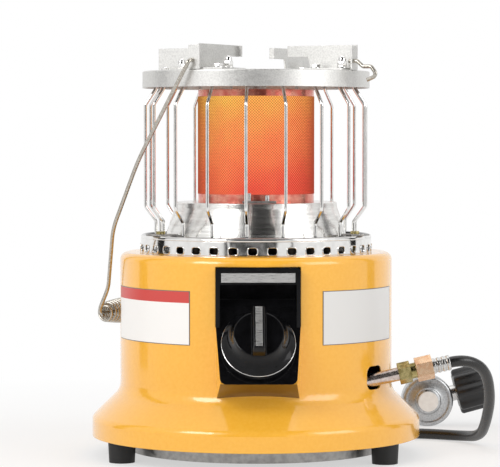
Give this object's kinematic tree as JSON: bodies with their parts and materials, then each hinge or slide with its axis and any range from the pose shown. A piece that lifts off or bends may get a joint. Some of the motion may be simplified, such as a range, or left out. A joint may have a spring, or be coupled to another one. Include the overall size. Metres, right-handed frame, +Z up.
{
  "type": "portable propane heater",
  "caption": "Portable round propane heater and stove: enamelled base, caged glowing burner, pot supports, carrying bail, push-and-turn knob, gas hose with regulator.",
  "frame": {"origin": "on the round base's axis, level with the bottom of the rubber feet", "axes": "+Z up along the base's axis, -Y towards the control panel, +X to the right seen from the front, towards the gas inlet"},
  "size_m": [0.3883, 0.4223, 0.373],
  "materials": {
    "yellow_enamel": "gloss enamel",
    "zinc_steel": "galvanised",
    "black_rubber": "satin",
    "black_gloss": "gloss",
    "chrome": "polished",
    "silver_trim": "satin",
    "yellow_zinc": "yellow zinc plate",
    "brass": "machined",
    "steel": "bright",
    "burner_glow": "glowing mesh",
    "burner_band": "heat tinted",
    "hammered_plate": "hammered",
    "cast_silver": "die cast",
    "white_plastic": "satin",
    "black_plastic": "satin"
  },
  "bodies": {
    "heater": {"base_shell": "yellow_enamel", "bottom_pan": "zinc_steel", "burner_cap": "burner_band", "burner_core": "burner_glow", "burner_lower_band": "burner_band", "burner_mesh": "burner_glow", "clip_screws": "yellow_zinc", "control_panel": "black_gloss", "dome_nuts": "chrome", "feet": "black_rubber", "flare_nut": "yellow_zinc", "foot_screws": "zinc_steel", "gas_tube": "brass", "gas_valve": "brass", "guard_clips": "zinc_steel", "guard_lower_ring": "chrome", "guard_upper_ring": "chrome", "guard_wires": "chrome", "hose": "black_rubber", "hose_ferrule": "steel", "igniter_electrode": "steel", "injector": "brass", "injector_bracket": "zinc_steel", "inlet_pipe": "yellow_zinc", "inlet_union": "yellow_zinc", "knob_bezel": "black_gloss", "label_left": "white_plastic", "label_right": "white_plastic", "mixing_tube": "steel", "panel_badge": "silver_trim", "piezo_igniter": "black_plastic", "pilot_bracket": "zinc_steel", "pot_support_1": "hammered_plate", "pot_support_2": "hammered_plate", "pot_support_3": "hammered_plate", "pot_support_4": "hammered_plate", "reflector": "chrome", "regulator_body": "cast_silver", "regulator_cap": "white_plastic", "regulator_cover": "silver_trim", "regulator_ferrule": "steel", "regulator_neck": "steel", "supply_tube": "brass", "support_studs": "steel", "thermocouple": "steel", "tilt_switch": "zinc_steel", "top_plate": "hammered_plate", "top_spacer": "steel", "valve_bracket": "zinc_steel", "vent_ring": "chrome"},
    "plunger": {"valve_plunger": "brass"},
    "knob_body": {"knob": "black_gloss", "knob_ring": "chrome", "knob_strip": "silver_trim", "knob_stem": "brass"},
    "bail": {"bail_handle": "chrome", "bail_grip": "chrome"},
    "catch": {"catch_hook": "chrome"},
    "wheel": {"handwheel": "black_plastic"},
    "pendulum": {"tilt_pendulum": "steel"}
  },
  "joints": [
    {"name": "knob_push", "type": "slide", "parent": "heater", "child": "plunger", "axis": [0, 0.8387, -0.5446], "range_m": [0, 0.0035], "stiffness_N_per_m": 500, "springref_m": -0.002},
    {"name": "knob_turn", "type": "hinge", "parent": "plunger", "child": "knob_body", "pos_m": [0, -0.13501, 0.1089], "axis": [0, -0.8387, 0.5446], "range_deg": [0, 180]},
    {"name": "bail_swing", "type": "hinge", "parent": "heater", "child": "bail", "pos_m": [-0.00537, 0.0031, 0.3584], "axis": [0.5, 0.866, 0], "range_deg": [0, 285]},
    {"name": "catch_swing", "type": "hinge", "parent": "heater", "child": "catch", "pos_m": [0.08662, -0.05717, 0.3584], "axis": [0.866, -0.5, 0], "range_deg": [-60, 60]},
    {"name": "wheel_turn", "type": "hinge", "parent": "heater", "child": "wheel", "pos_m": [0.21464, 0.222, 0.03585], "axis": [0.9659, 0, 0.2588], "continuous": true},
    {"name": "tilt_swing", "type": "hinge", "parent": "heater", "child": "pendulum", "pos_m": [-0.057, 0.031, 0.0247], "axis": [1, 0, 0], "range_deg": [-20, 20]}
  ]
}
